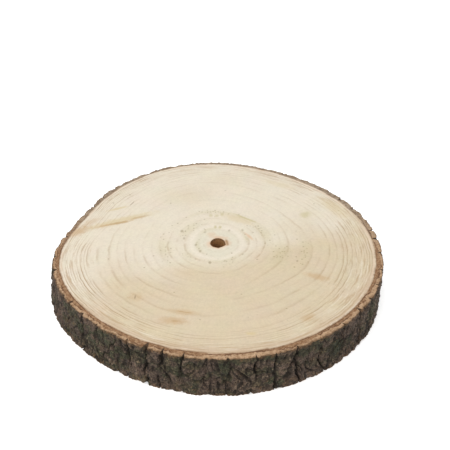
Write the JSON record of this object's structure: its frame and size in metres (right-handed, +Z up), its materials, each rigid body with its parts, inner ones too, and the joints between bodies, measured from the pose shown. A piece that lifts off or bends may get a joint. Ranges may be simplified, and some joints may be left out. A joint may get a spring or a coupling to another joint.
{
  "type": "wood slice",
  "caption": "Round slice of a tree stem, sawn flat on both faces, with pale growth rings, a small hollow pith right through it and a ring of dark fissured bark.",
  "frame": {"origin": "middle of the slice's bounding box, on its sawn underside", "axes": "+Z up through the thickness and out of the top face; the picture looks along +Y and down, with +X to its right"},
  "size_m": [0.2996, 0.304, 0.039],
  "materials": {
    "wood": "matte",
    "bark": "matte"
  },
  "bodies": {
    "root": {"wood": "wood", "bark": "bark"}
  },
  "joints": []
}
